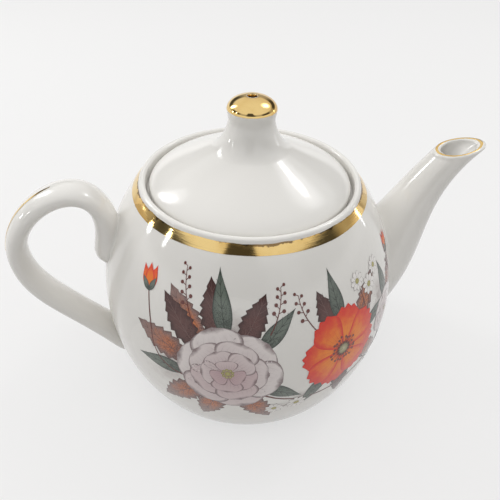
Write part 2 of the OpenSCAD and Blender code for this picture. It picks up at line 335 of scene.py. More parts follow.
def makePorcelain(name, bareFoot=False):
    material, tree, shader = newMaterial(name)
    glaze = addGlaze(shader)
    white = mixColour(glaze["Tone"], porcelain["light"], porcelain["deep"])
    white = mixColour(glaze["Specks"], white, porcelain["speck"])
    if bareFoot:
        place = coordinates(tree)
        bare = maths("LESS_THAN", split(place)["Z"], porcelain["bareZ"] * mm)
        grain = noiseValue(place, porcelain["bisqueScale"], 3, 0.7)
        dusty = mixColour(grain, porcelain["bisque"], porcelain["bisqueDeep"])
        white = mixColour(bare, white, dusty)
        rough = maths("MAXIMUM", glaze["Roughness"], times(bare, porcelain["bisqueRoughness"]))
        feed(shader, {"Roughness": rough})
    feed(shader, {"Base Color": white})
    return material


fired = {
    "bright": (0.86, 0.63, 0.27),
    "deep": (0.70, 0.45, 0.15),
    "worn": (0.55, 0.34, 0.16),
    "burnt": (0.16, 0.09, 0.045),
    "streakScale": 160,
    "cloudScale": 70,
    "pitScale": 900,
    "wornShare": 0.8,
    "edgeScale": 420,
    "edgePatchScale": 45,
    "edgeShare": 0.45,        # brings the sum of two noises and the height into a ramp's reach
    "edgeStops": ((0.86, 0.0), (0.90, 1.0)),
    "roughness": 0.03,
    "streakRoughness": 0.08,
    "wornRoughness": 0.3,
    "cloudH": 2.0,
    "bump": 0.22,
    "bumpDepth": 0.1,
}


def makeGold(name, streakScale=(1, 1, 1), burntEdge=0.0):
    material, tree, shader = newMaterial(name)
    place = coordinates(tree)
    stretch = node(tree, "ShaderNodeMapping", {"Vector": place, "Scale": streakScale}).outputs[0]
    streaks = noiseValue(stretch, fired["streakScale"], 4, 0.6)
    clouds = noiseValue(place, fired["cloudScale"], 3)
    colour = mixColour(ramp(clouds, ((0.35, 0.0), (0.7, 1.0))), fired["bright"], fired["deep"])
    pits = noiseValue(place, fired["pitScale"], 1)
    worn = ramp(times(pits, clouds), ((0.44, 0.0), (0.5, 1.0)), "LINEAR")
    colour = mixColour(times(worn, fired["wornShare"]), colour, fired["worn"])
    if burntEdge:                   # the upper edge is thin and brown in places
        height = split(coordinates(tree, "UV"))["Y"]
        ragged = plus(noiseValue(place, fired["edgeScale"], 3, 0.65), height)
        ragged = plus(noiseValue(place, fired["edgePatchScale"], 1), ragged)
        thin = ramp(times(ragged, fired["edgeShare"]), fired["edgeStops"], "LINEAR")
        colour = mixColour(times(thin, burntEdge), colour, fired["burnt"])
    rough = plus(fired["roughness"], times(streaks, fired["streakRoughness"]))
    rough = plus(rough, times(worn, fired["wornRoughness"]))
    height = plus(streaks, times(clouds, fired["cloudH"]))
    normal = bumpNormal(height, fired["bump"], fired["bumpDepth"])
    feed(shader, {"Base Color": colour, "Metallic": 1.0, "Roughness": rough, "Normal": normal})
    return material


# pot

potLow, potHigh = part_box("pot_shoulder")
pot = {
    "bellyR": (potHigh[1] - potLow[1]) / 2 / mm,
    "height": potHigh[2] / mm,
    "bellyZ": 44.0,
    "upperCurveR": 79.0,
    "lowerCurveR": 84.0,
    "cornerR": 8.5,
    "wall": 3.2,
    "floor": 3.4,
    "footR": 44.5,
    "footH": 1.5,
    "footW": 3.2,
    "footRecess": 2.2,
    "footRound": 0.3,
    "recessRound": 1.2,
    "lipW": 2.6,
    "seatDepth": 5.2,
    "ledgeW": 4.8,
    "ledgeT": 2.8,
    "seatRound": 0.8,
    "mouthRound": 0.7,
    "throatDrop": 4.7,        # the well's underside meets the wall this far below the ledge
    "sides": 160,
    "strainerHole": 3.4,
    "strainerPitch": 5.8,
    "strainerZ": 46.0,
    "pegX": 57.0,
    "pegL": 25.0,
}
upperCentre = Vector((pot["bellyR"] - pot["upperCurveR"], pot["bellyZ"]))
lowerCentre = Vector((pot["bellyR"] - pot["lowerCurveR"], pot["bellyZ"]))


def wallCurve(z):                  # centre and radius of the arc that the wall follows at height z
    return (upperCentre, pot["upperCurveR"]) if z > pot["bellyZ"] else (lowerCentre, pot["lowerCurveR"])


def potRadius(z):                  # outer radius of the pot at height z
    centre, radius = wallCurve(z)
    return centre.x + sqrt(max(0.0, radius ** 2 - (z - pot["bellyZ"]) ** 2))


def outsidePot(p):
    return hypot(p.x, p.y) - potRadius(p.z)


def onPot(p, lift=0.0):            # the nearest point of the pot's outer face, and the way out there
    around = atan2(p.y, p.x)
    centre, radius = wallCurve(p.z)
    out = (Vector((hypot(p.x, p.y), p.z)) - centre).normalized()
    spot = centre + out * (radius + lift)
    return polar(spot.x, around, spot.y), polar(out.x, around, out.y)


def degUp(z, radius):
    return degrees(asin((z - pot["bellyZ"]) / radius))


def onePoint(centre, radius, deg):
    return arcPoints(centre, radius, deg, deg, 1)[0]


lipR = pot["lipW"] / 2
rimR = potRadius(pot["height"] - lipR)
wellR = rimR - pot["lipW"]
mouthR = wellR - pot["ledgeW"]
seatZ = pot["height"] - pot["seatDepth"]


def potProfile():
    cornerR, recess, footIn = pot["cornerR"], pot["footRecess"], pot["footR"] - pot["footW"]
    turn = -degUp(pot["footH"] + cornerR, pot["lowerCurveR"] - cornerR)
    corner = onePoint(lowerCentre, pot["lowerCurveR"] - cornerR, -turn)
    footR, footRound, recessRound = pot["footR"], pot["footRound"], pot["recessRound"]
    foot = points2([(0, recess), (20, recess), (footIn - recessRound, recess), (footIn, recess - recessRound),
                    (footIn, footRound), (footIn + footRound, 0), (footR - footRound, 0), (footR, footRound),
                    (footR, pot["footH"])])
    lipDeg = degUp(pot["height"] - lipR, pot["upperCurveR"])
    outer = (arcPoints(corner, cornerR, -90, -turn, 9)
             + arcPoints(lowerCentre, pot["lowerCurveR"], -turn, 0, 26)[1:]
             + arcPoints(upperCentre, pot["upperCurveR"], 0, lipDeg, 34)[1:])
    lip = arcPoints(Vector((rimR - lipR, pot["height"] - lipR)), lipR, 0, 180, 12)[1:]
    innerUpper, innerLower = pot["upperCurveR"] - pot["wall"], pot["lowerCurveR"] - pot["wall"]
    throatDeg = degUp(seatZ - pot["ledgeT"] - pot["throatDrop"], innerUpper)
    throat = onePoint(upperCentre, innerUpper, throatDeg)
    seatRound, mouthRound, ledgeZ = pot["seatRound"], pot["mouthRound"], seatZ - pot["ledgeT"]
    ledge = points2([(wellR, seatZ + seatRound), (wellR - 0.25, seatZ + 0.25), (wellR - seatRound, seatZ),
                     (mouthR + mouthRound, seatZ), (mouthR + 0.2, seatZ - 0.2), (mouthR, seatZ - mouthRound)])
    below = points2([(mouthR, ledgeZ), (wellR, ledgeZ), (throat.x - 2, throat.y + 2.5), throat])
    ledge += curvePoints(below, 10)
    innerCornerR = cornerR + 1
    floorZ = recess + pot["floor"]
    innerTurn = -degUp(floorZ + innerCornerR, innerLower - innerCornerR)
    innerCorner = onePoint(lowerCentre, innerLower - innerCornerR, -innerTurn)
    inner = (arcPoints(upperCentre, innerUpper, throatDeg, 0, 22)[1:]
             + arcPoints(lowerCentre, innerLower, 0, -innerTurn, 20)[1:]
             + arcPoints(innerCorner, innerCornerR, -innerTurn, -90, 7)[1:])
    return foot + outer + lip + ledge + inner + points2([(18, floorZ), (0, floorZ)])


def strainerPegs():
    rise = pot["strainerPitch"] * sin(radians(60))
    pegs = []
    for j in range(-2, 3):
        for i in range(5 - abs(j)):
            side = (i - 2 + abs(j) / 2) * pot["strainerPitch"]
            place = Vector((pot["pegX"], side, pot["strainerZ"] + j * rise))
            bpy.ops.mesh.primitive_cylinder_add(vertices=20, radius=pot["strainerHole"] / 2 * mm,
                                                depth=pot["pegL"] * mm, location=place * mm,
                                                rotation=(0, pi / 2, 0))
            pegs.append(bpy.context.object)
    return join(pegs, "strainerPegs")


def finishGlazed(piece, name, look, body, nodes, smoothAngle=40, **settings):
    material = makePorcelain(look, **settings)
    return finishPiece(piece, name, material, body, nodes, smoothAngle)


def makePot():
    piece = turned(potProfile(), pot["sides"])
    pegs = strainerPegs()
    cut = piece.modifiers.new("strainer", "BOOLEAN")
    cut.operation = "DIFFERENCE"
    cut.solver = "EXACT"
    cut.object = pegs
    applyModifiers(piece)
    bpy.data.objects.remove(pegs)
    nodes = ["pot_body", "pot_shoulder", "strainer"]
    return finishGlazed(piece, "teapotBody", "glazedPot", "pot", nodes, bareFoot=True)


makePot()
print("pot turned")

# lid and knob

lid = {
    "edgeR": wellR - 1.4,
    "seatZ": seatZ + 0.25,
    "edgeH": 2.9,
    "wall": 2.8,
    "collarR": mouthR - 1.0,
    "collarT": 2.6,
    "collarDepth": 5.8,
    "domeR": 15.5,
    "domeRise": 13.25,
    "neckR": 8.75,
    "neckRise": 10.95,
    "headR": 9.2,
    "headRise": 4.4,
    "headDome": 4.9,
    "knobWall": 2.6,
    "ventR": 2.0,
    "pulls": ((-1.3, 3.2), (13.0, -6.5), (-3.1, 1.55), (0.9, -4.9)),    # of the dome's curve and the flare's
    "crownT": 1.5,            # least thickness between the hollow below and the head
    "sides": 128,
}
edgeZ = lid["seatZ"] + lid["edgeH"]
turnZ = edgeZ + lid["domeRise"]
neckZ = turnZ + lid["neckRise"]
headZ = neckZ + lid["headRise"]


def headAt(deg, grow=0.0):         # a point of the knob's domed head
    a = radians(deg)
    return Vector(((lid["headR"] + grow) * cos(a), headZ + (lid["headDome"] + grow) * sin(a)))


def headPoints(grow, steps):
    last = degrees(acos(lid["ventR"] / (lid["headR"] + grow)))
    return [headAt(last * i / steps, grow) for i in range(steps + 1)]


def lidProfile():
    edgeR, domeR, neckR, headR = lid["edgeR"], lid["domeR"], lid["neckR"], lid["headR"]
    pulls = [Vector(pull) for pull in lid["pulls"]]
    dome = points2([(edgeR, edgeZ), (edgeR + pulls[0].x, edgeZ + pulls[0].y),
                    (domeR + pulls[1].x, turnZ + pulls[1].y), (domeR, turnZ)])
    flare = points2([(domeR, turnZ), (domeR + pulls[2].x, turnZ + pulls[2].y),
                     (neckR + pulls[3].x, neckZ + pulls[3].y), (neckR, neckZ)])
    neck = points2([(neckR, neckZ), (neckR - 0.1, neckZ + lid["headRise"] * 0.4),
                    (headR, headZ - lid["headRise"] * 0.4), (headR, headZ)])
    top = curvePoints(dome, 24) + curvePoints(flare, 22)[1:] + curvePoints(neck, 8)[1:]
    collarR, collarIn, lowZ = lid["collarR"], lid["collarR"] - lid["collarT"], lid["seatZ"]
    collarZ = lowZ - 0.25 - lid["collarDepth"]
    under = [p for p in beside(top, lid["wall"]) if p.x < collarIn and p.y < headZ - lid["crownT"]]
    edge = points2([(collarR - 0.6, collarZ), (collarR, collarZ + 0.6), (collarR, lowZ - 0.5),
                    (collarR + 0.4, lowZ), (edgeR - 0.9, lowZ), (edgeR - 0.25, lowZ + 0.25),
                    (edgeR, lowZ + 0.9), (edgeR + 0.03, edgeZ - 0.9), (edgeR - 0.05, edgeZ - 0.4)])
    skirt = points2([(collarIn, under[0].y), (collarIn, collarZ + 0.6), (collarIn + 0.6, collarZ)])
    bore = headPoints(-lid["knobWall"], 8)
    return edge + top + headPoints(0, 14)[1:] + bore[::-1] + under[::-1] + skirt + [edge[0]]


def makeLid():
    piece = turned(lidProfile(), lid["sides"])
    return finishGlazed(piece, "lidWithKnob", "glazedLid", "lid", ["lid", "lid_knob"])


makeLid()
print("lid turned")

# tubes that spring from the pot

def ovalPoint(centre, direction, halfThick, halfWide, angle):
    return Vector((centre.x - direction.y * halfThick * cos(angle), halfWide * sin(angle),
                   centre.y + direction.x * halfThick * cos(angle)))


def bisect(value, low, high):      # value(low) and value(high) have different signs
    start = value(low) > 0
    for _ in range(40):
        middle = (low + high) / 2
        if (value(middle) > 0) == start:
            low = middle
        else:
            high = middle
    return (low + high) / 2


def firstCrossing(value, low, high, steps=60):
    before = low
    for i in range(1, steps + 1):
        s = low + (high - low) * i / steps
        if (value(s) > 0) != (value(low) > 0):
            return bisect(value, before, s)
        before = s
    return high


def rootRows(line, crossings, inwards, reach, steps):
    # a soft fillet from the pot's face towards the crossing line and on to the tube
    count = len(crossings)
    corners = [line(k, s) for k, s in enumerate(crossings)]
    middle = sum(corners, Vector()) / count
    rows = [[] for _ in range(steps + 1)]
    ends = []
    for k, s in enumerate(crossings):
        corner = corners[k]
        along = (corners[(k + 1) % count] - corners[k - 1]).normalized()
        away = onPot(corner)[1].cross(along).normalized()
        if away.dot(corner - middle) < 0:
            away = -away
        foot = onPot(corner + away * reach, -0.01)[0]
        step = 0.002 * inwards
        speed = (line(k, s + step) - line(k, s)).length / abs(step)
        end = s + inwards * reach * 1.15 / speed
        top = line(k, end)
        ends.append(end)
        for i in range(steps + 1):
            t = (i / steps) ** 1.25
            rows[i].append((1 - t) ** 2 * foot + 2 * (1 - t) * t * corner + t * t * top)
    return rows, ends


spout = {
    "path": points2([(pot["bellyR"] - 22.5, pot["bellyZ"] - 14), (pot["bellyR"] + 14.5, pot["bellyZ"] + 6),
                     (pot["bellyR"] + 2.5, pot["height"] - 24.7),
                     (pot["bellyR"] + 29.5, pot["height"] + 3.5)]),
    "tipR": 6.6,
    "rootR": 23.0,
    "taper": 1.53,
    "oval": 1.16,
    "wall": 2.2,
    "lipAt": (0.75, 1.25),    # the mouth's edges are looked for between these shares of the path
    "lipTilt": 10.5,
    "lipH": 1.0,
    "fillet": 2.6,
    "sides": 72,
    "rows": 46,
}


def spoutLine(k, t, inset=0.0):
    angle = tau * k / spout["sides"]
    r = spout["tipR"] + (spout["rootR"] - spout["tipR"]) * max(0.0, 1 - t) ** spout["taper"]
    return ovalPoint(curveAt(spout["path"], t), curveDirection(spout["path"], min(t, 1.1)),
                     r - inset, r * spout["oval"] - inset, angle)


tilt = radians(spout["lipTilt"])
lipUp = Vector((-sin(tilt), 0, cos(tilt)))
lipCentre = Vector((spout["path"][3].x, 0, spout["path"][3].y))


def aboveLip(p):                   # above the plane in which the rounded lip begins
    return (p - lipCentre).dot(lipUp) + spout["lipH"]


def spoutRim():                    # where the mouth's outer and inner edge lie, column by column
    low, high = spout["lipAt"]
    return [[bisect(lambda t: aboveLip(spoutLine(k, t, inset)), low, high) for inset in (0, spout["wall"])]
            for k in range(spout["sides"])]


def rimPoint(k, outT, inT, deg, lift=0.0):
    outer, inner = spoutLine(k, outT), spoutLine(k, inT, spout["wall"])
    middle = (outer + inner) / 2
    a = radians(deg)
    side = outer - middle
    return (middle + side * cos(a) * (1 + lift / side.length)
            + lipUp * (spout["lipH"] + lift) * sin(a))


def makeSpout():
    columns = range(spout["sides"])
    rim = spoutRim()
    crossings, inside = [[firstCrossing(lambda t: outsidePot(spoutLine(k, t, inset)), 0.0, 0.9)
                          for k in columns] for inset in (0, spout["wall"])]
    fillet, ends = rootRows(spoutLine, crossings, 1, spout["fillet"], 8)
    base = [onPot(spoutLine(k, inside[k], spout["wall"]), -0.4)[0] for k in columns]
    rows = [base] + fillet
    for i in range(1, spout["rows"] + 1):
        rows.append([spoutLine(k, ends[k] + (rim[k][0] - ends[k]) * i / spout["rows"]) for k in columns])
    for i in range(1, 9):
        rows.append([rimPoint(k, *rim[k], 180 * i / 9) for k in columns])
    for i in range(31):
        shares = [rim[k][1] + (inside[k] - rim[k][1]) * i / 30 for k in columns]
        rows.append([spoutLine(k, shares[k], spout["wall"]) for k in columns])
    rows.append(base)
    piece = skin([row + [row[0]] for row in rows])
    return finishGlazed(piece, "pouringSpout", "glazedSpout", "pot", ["spout"], 60)


makeSpout()
print("spout shaped")

backX = -pot["bellyR"] - 30
handle = {
    "upper": points2([(-pot["bellyR"] + 3.2, 62), (-pot["bellyR"] + 15.4, pot["height"] + 18.4),
                      (backX, pot["height"] - 1.3), (backX, 70.5)]),
    "lower": points2([(backX, 70.5), (backX, 50.8), (backX + 14.5, 42.8), (-pot["bellyR"] + 8.8, 9.5)]),
    "thick": 7.8,
    "wide": 15.4,
    "rootThick": 13.6,
    "footWide": 19.0,
    "capShare": 0.055,
    "lowerCapShare": 0.1,
    "upperSwell": 0.34,
    "lowerSwell": 0.4,
    "lowerShare": 0.34,
    "fillet": 1.6,
    "sides": 56,
    "rows": 96,
}


def handleCurve(s):
    return (handle["upper"], s) if s < 1 else (handle["lower"], s - 1)


def handleSize(s):
    upper = max(0.0, 1 - s / handle["upperSwell"]) ** 2
    lower = max(0.0, (s - 2) / handle["lowerSwell"] + 1) ** 2
    left = min(1.0, max(0.0, 1 - s / handle["capShare"], (s - 2) / handle["lowerCapShare"] + 1))
    closing = sqrt(1 - left ** 2 * 0.98)
    thick = handle["thick"] + (handle["rootThick"] - handle["thick"]) * (upper + handle["lowerShare"] * lower)
    wide = handle["wide"] + (handle["footWide"] - handle["wide"]) * lower
    return thick / 2 * closing, wide / 2 * closing


def handleLine(k, s):
    path, t = handleCurve(s)
    return ovalPoint(curveAt(path, t), curveDirection(path, t), *handleSize(s), tau * k / handle["sides"])


def makeHandle():
    columns = range(handle["sides"])
    top = [firstCrossing(lambda s: outsidePot(handleLine(k, s)), 0.0, 0.6, 240) for k in columns]
    low = [firstCrossing(lambda s: outsidePot(handleLine(k, s)), 2.0, 1.4, 240) for k in columns]
    topRows, topEnds = rootRows(handleLine, top, 1, handle["fillet"], 6)
    lowRows, lowEnds = rootRows(handleLine, low, -1, handle["fillet"], 6)
    rows = topRows
    for i in range(1, handle["rows"]):
        share = i / handle["rows"]
        rows.append([handleLine(k, topEnds[k] + (lowEnds[k] - topEnds[k]) * share) for k in columns])
    rows += lowRows[::-1]
    piece = skin([row + [row[0]] for row in rows])
    editAll()
    bpy.ops.mesh.fill_holes(sides=0)
    bpy.ops.object.mode_set(mode="OBJECT")
    return finishGlazed(piece, "loopHandle", "glazedHandle", "pot", ["handle"], 60)


makeHandle()
print("handle shaped")

# gold

gilding = {
    "lift": 0.06,
    "thickness": 0.05,
    "bandTop": pot["height"] - 1.5,
    "bandH": 3.1,
    "bandSides": 288,
    "bandStreaks": (1, 1, 12),
    "bandBurnt": 0.85,
    "waver": 0.2,
    "strokeW": 1.15,
    "strokeFrom": 0.54,
    "strokeDrift": 0.15,      # how far the stroke leans over to the far side, in radians
    "strokeTo": 1.42,
    "strokeRows": 72,
    "strokeWaver": 0.12,
    "strokeSide": pi,         # the oval's far side lies on the handle's back
    "lineFrom": 71,           # degrees round the lip, counted from outside
    "lineTo": 108,
    "lineWaver": 7,
    "lineLift": 0.05,
    "capSides": 96,
    "capRows": 14,
    "capFrom": 2.0,           # degrees up the head
    "capWaver": 1.25,
    "ventDepths": ((0.12, 0.04), (0.0, 0.2), (0.0, 1.2), (0.0, 2.3)),
}


def waver(angle, seed, reach):     # a brushed edge that wanders round a circle
    spot = Vector((cos(angle) * 3, sin(angle) * 3, seed))
    return reach * (noise.noise(spot) + 0.6 * noise.noise(spot * 3.1) + 0.35 * noise.noise(spot * 8.3))


def layGold(rows, name, look, body, nodeName, smoothAngle=60, closed=True, **settings):
    piece = skin(rows, closed)
    thicken(piece, gilding["thickness"])
    return finishPiece(piece, name, makeGold(look, **settings), body, [nodeName], smoothAngle)


def makeGoldBand():
    def point(i, k, angle):
        low = gilding["bandTop"] - gilding["bandH"] + waver(angle, 3.0, gilding["waver"] * 0.45)
        high = gilding["bandTop"] + waver(angle, 9.0, gilding["waver"])
        z = low + (high - low) * i / 8
        return onPot(polar(potRadius(z), angle, z), gilding["lift"])[0]
    rows = rings(9, gilding["bandSides"], point)
    return layGold(rows, "goldRimBand", "brushedGoldBand", "pot", "shoulder_gold_band", 70,
                   streakScale=gilding["bandStreaks"], burntEdge=gilding["bandBurnt"])


def makeGoldCap():                 # it also lines the top of the vent
    steps = gilding["capRows"]
    high = degrees(acos((lid["ventR"] + 0.3) / (lid["headR"] + gilding["lift"])))
    brim = headAt(high, gilding["lift"])
    ventIn = lid["ventR"] - gilding["lift"]
    down = points2([(ventIn + wider, brim.y - deep) for wider, deep in gilding["ventDepths"]])

    def point(i, k, angle):
        low = gilding["capFrom"] + waver(angle, 5.0, gilding["capWaver"])
        p = headAt(low + (high - low) * i / steps, gilding["lift"]) if i <= steps else down[i - steps - 1]
        return polar(p.x, angle, p.y)
    rows = rings(steps + 1 + len(down), gilding["capSides"], point)
    return layGold(rows, "goldKnobCap", "brushedGoldCap", "lid", "knob_gold_cap")


def makeGoldLipLine():
    rim = spoutRim()

    def point(i, k, angle):
        fromDeg = gilding["lineFrom"] + waver(angle, 2.0, gilding["lineWaver"])
        toDeg = gilding["lineTo"] + waver(angle, 7.0, gilding["lineWaver"])
        return rimPoint(k, *rim[k], fromDeg + (toDeg - fromDeg) * i / 8, gilding["lineLift"])
    rows = rings(9, spout["sides"], point)
    return layGold(rows, "goldSpoutLine", "brushedGoldLine", "pot", "spout_lip_gold")


def makeGoldStroke():              # blunt at the top, drawn out at the bottom
    rows = []
    for i in range(gilding["strokeRows"] + 1):
        share = i / gilding["strokeRows"]
        s = gilding["strokeFrom"] + (gilding["strokeTo"] - gilding["strokeFrom"]) * share
        half = gilding["strokeW"] / 2 * min(1.0, 0.25 + 9 * share, 0.08 + 2.2 * (1 - share))
        half *= 1 + waver(s * 2, 4.0, gilding["strokeWaver"])
        path, t = handleCurve(s)
        halfThick, halfWide = handleSize(s)
        lean = gilding["strokeDrift"] * sin(pi * share ** 0.7)
        turns = [asin((j / 3 - 1) * half / halfWide) + lean + gilding["strokeSide"] for j in range(7)]
        rows.append([ovalPoint(curveAt(path, t), curveDirection(path, t), halfThick + gilding["lift"],
                               halfWide + gilding["lift"], turn) for turn in turns])
    return layGold(rows, "goldHandleStroke", "brushedGoldStroke", "pot", "handle_gold_stroke", closed=False)


makeGoldBand()
makeGoldCap()
makeGoldLipLine()
makeGoldStroke()
print("gold laid on")

# painted spray

def paint(chart):                  # a colour read off a chart of 256 levels
    return tuple(((c / 255 + 0.055) / 1.055) ** 2.4 if c > 10 else c / 3295 for c in chart)


def makePrint(name, look):
    # fired transfer colour under the same gloss as the glaze
    material, tree, shader = newMaterial(name)
    addGlaze(shader)
    place, uv = coordinates(tree), split(coordinates(tree, "UV"))
    across, along = uv["X"], uv["Y"]
    side = maths("ABSOLUTE", minus(times(across, 2.0), 1.0))
    wobble = minus(noiseValue(place, look["wobbleScale"], 3, 0.6), 0.5)
    shift = plus(along, times(wobble, 0.5))
    colour = ramp(shift, ((0.08, look["heart"]), (0.42, look["field"]), (0.95, look["tip"])))
    rim = maths("MAXIMUM", side, times(along, 0.97))
    soft = plus(rim, times(wobble, 0.45))
    colour = mixColour(ramp(soft, ((look["edgeFrom"], 0.0), (0.97, 1.0))), colour, look["edge"])
    tone = node(tree, "ShaderNodeAttribute", attribute_name="tone").outputs["Fac"]
    colour = mixColour(tone, colour, look["shade"])
    fan = times(minus(across, 0.5), look["veins"] * pi)
    fan = maths("ABSOLUTE", maths("SINE", plus(fan, times(wobble, 1.2))))
    veins = ramp(fan, ((0.0, 1.0), (0.30, 0.0)))
    fade = ramp(along, ((look["veinTo"] * 0.35, 1.0), (look["veinTo"], 0.0)))
    veins = times(times(veins, fade), look["veinAmount"])
    colour = mixColour(veins, colour, look["line"])
    reach = times(minus(look["dotTo"], plus(along, wobble)), look["dots"])
    dots = maths("LESS_THAN", cellDistance(place, look["dotScale"]), reach)
    colour = mixColour(times(dots, look["dotAmount"]), colour, look["line"])
    outline = ramp(plus(rim, times(wobble, 0.12)), ((0.86, 0.0), (0.95, 1.0)), "LINEAR")
    colour = mixColour(times(outline, look["outline"]), colour, look["line"])
    feed(shader, {"Base Color": colour})
    return material


printDefaults = {
    "wobbleScale": 420,
    "veins": 5.0,
    "veinTo": 0.8,            # how far along a petal or leaf the veins reach
    "veinAmount": 0.35,
    "dots": 0.5,
    "dotTo": 0.45,
    "dotScale": 2100,
    "dotAmount": 0.6,
    "outline": 0.35,
    "edgeFrom": 0.45,
}
inks = ("heart", "field", "tip", "edge", "shade", "line")
paints = {                         # the inks, None being the glaze's white, and then what differs
    "orangePetals": (
        (206, 70, 22), (240, 134, 22), (236, 104, 24), (222, 44, 26), (214, 60, 20), (196, 38, 24),
        {"edgeFrom": 0.42, "veinAmount": 0.45, "veins": 7.0, "dots": 0.0, "outline": 0.25}),
    "rosePetals": (
        (150, 128, 132), (214, 206, 204), (226, 221, 218), (228, 222, 219), (178, 140, 146), (104, 82, 84),
        {"edgeFrom": 0.7, "veinAmount": 0.5, "veins": 9.0, "veinTo": 0.95, "dots": 0.62, "dotTo": 0.75,
         "outline": 0.8}),
    "daisyPetals": (
        (196, 194, 188), (232, 229, 225), (236, 233, 229), (236, 233, 229), (214, 206, 204), (84, 56, 54),
        {"veinAmount": 0.4, "veins": 3.0, "veinTo": 0.5, "dots": 0.0, "outline": 0.95}),
    "sageLeaves": (
        (74, 84, 76), (104, 114, 104), (134, 142, 132), (88, 98, 90), (66, 72, 66), (48, 50, 46),
        {"veinAmount": 0.3, "dots": 0.7, "dotTo": 1.0, "outline": 0.8}),
    "autumnLeaves": (
        (122, 88, 82), (206, 116, 58), (150, 120, 112), (136, 110, 104), (118, 92, 88), (84, 52, 48),
        {"edgeFrom": 0.2, "dots": 0.6, "dotTo": 1.1, "outline": 0.7}),
    "darkLeaves": (
        (84, 50, 46), (96, 62, 58), (74, 42, 40), (66, 38, 36), (112, 82, 78), (52, 28, 26),
        {"veinAmount": 0.3, "dotTo": 1.0, "outline": 0.6}),
    "sprigStrokes": (
        (98, 44, 38), (96, 42, 38), (112, 52, 44), (104, 48, 42), (120, 88, 84), (74, 30, 28),
        {"veinAmount": 0.0, "dots": 0.0, "outline": 0.0}),
    "flowerHearts": (
        (206, 200, 176), (168, 160, 142), (58, 44, 40), (52, 38, 36), (176, 168, 92), (48, 32, 30),
        {"edgeFrom": 0.96, "veins": 12.0, "veinAmount": 0.3, "veinTo": 0.9, "outline": 0.0}),
    "greyMist": (
        (176, 168, 165), (198, 191, 187), None, None, (198, 190, 187), (132, 118, 114),
        {"edgeFrom": 0.15, "veinAmount": 0.0, "dots": 0.38, "dotTo": 0.75, "outline": 0.0}),
}
sprayLifts = {"greyMist": 0.020, "autumnLeaves": 0.036, "darkLeaves": 0.052, "sageLeaves": 0.068,
              "sprigStrokes": 0.084, "rosePetals": 0.096, "orangePetals": 0.096, "daisyPetals": 0.150,
              "flowerHearts": 0.165}     # the paints lie over each other in this order
sprayPieces = {name: [] for name in paints}
sprayAzimuth = radians(-90)


def artPoint(x, y, lift):
    # flat artwork wrapped on the belly, y up its curve and x towards the handle on the side first painted
    centre, radius = wallCurve(pot["bellyZ"] + y)
    up, around = y / radius, sprayAzimuth - x / pot["bellyR"]
    return polar(centre.x + (radius + lift) * cos(up), around, centre.y + (radius + lift) * sin(up))


def placed(x, y, angle, along, sideways=0.0):
    a = radians(angle)
    return x + along * cos(a) - sideways * sin(a), y + along * sin(a) + sideways * cos(a)


def shapeStamp(name, halfWidth, columns, rows, tip=lambda c, v: 0.0):
    # a flat shape one unit long and one wide, with U across it and V along it
    table = []
    for j in range(rows + 1):
        v = j / rows
        across = [1 - 2 * i / columns for i in range(columns + 1)]
        table.append([Vector((v + tip(c, v), c * halfWidth(v) / 2, 0)) for c in across])
    piece = skin(table, False)
    piece.name = name
    return piece


def dotStamp(name, sides, count):
    piece = skin(rings(count + 1, sides, lambda j, k, angle: polar(0.01 + 0.99 * j / count, -angle)), False)
    weld(0.0001, outwards=False)
    piece.name = name
    return piece


def toothed(v, teeth, share):
    return 1 - share / 2 + share * (1 - (v * teeth) % 1.0)


def halfWave(v, lean, power=1.0):      # a petal's or leaf's width, none at v = 0 and v = 1
    return sin(pi * v ** lean) ** power if 0 < v < 1 else 0.0


stamps = {
    "ray": shapeStamp("rayStamp", lambda v: sin(pi * (0.04 + 0.78 * v) ** 1.45) ** 0.8, 12, 18,
                      lambda c, v: v ** 4 * (-0.10 * c * c + 0.035 * cos(3 * pi * c))),
    "cup": shapeStamp("cupStamp", lambda v: sin(pi * (0.03 + 0.97 * v) ** 1.7) ** 0.62, 12, 18,
                      lambda c, v: -0.05 * v ** 8 * (1 - abs(c)) ** 2),
    "blade": shapeStamp("bladeStamp", lambda v: halfWave(v, 0.8, 1.25), 8, 16),
    "saw": shapeStamp("sawStamp", lambda v: halfWave(v, 0.8) * toothed(v, 7, 0.36), 8, 28),
    "drop": shapeStamp("dropStamp", lambda v: halfWave(v, 1.3, 0.9), 2, 6),
    "dot": dotStamp("dotStamp", 20, 4),
    "cloud": dotStamp("cloudStamp", 40, 16),
}


def addToSpray(group, piece, tone):
    mark = piece.data.attributes.new("tone", "FLOAT", "POINT")
    mark.data.foreach_set("value", [tone] * len(piece.data.vertices))
    sprayPieces[group].append(piece)


def press(stamp, group, x, y, angle, length, width, bend=0.0, tone=0.0, extra=0.0):
    # a copy of the stamp, sized, bent to one side and laid on the pot
    makeActive(stamps[stamp])
    bpy.ops.object.duplicate()
    piece = bpy.context.object
    for vertex in piece.data.vertices:
        along, side = vertex.co.x / mm, vertex.co.y / mm
        flat = placed(x, y, angle, along * length, side * width + bend * along * along)
        vertex.co = artPoint(*flat, sprayLifts[group] + extra) * mm
    addToSpray(group, piece, tone)


def dot(group, x, y, radius, tone=0.0, extra=0.0):
    press("dot", group, x, y, 0, radius, radius, 0.0, tone, extra)


def stroke(points, width, taper, group="sprigStrokes", tone=0.0, extra=0.0):
    # a brush line bent by its middle point
    a, b, c = points2(points)
    table = []
    for j in range(15):
        t = j / 14
        p = (1 - t) ** 2 * a + 2 * (1 - t) * t * b + t * t * c
        d = (2 * (1 - t) * (b - a) + 2 * t * (c - b)).normalized()
        half = width / 2 * (1 - taper * t)
        lift = sprayLifts[group] + extra
        table.append([artPoint(p.x - d.y * half * k, p.y + d.x * half * k, lift) for k in (1, 0, -1)])
    addToSpray(group, skin(table, False), tone)


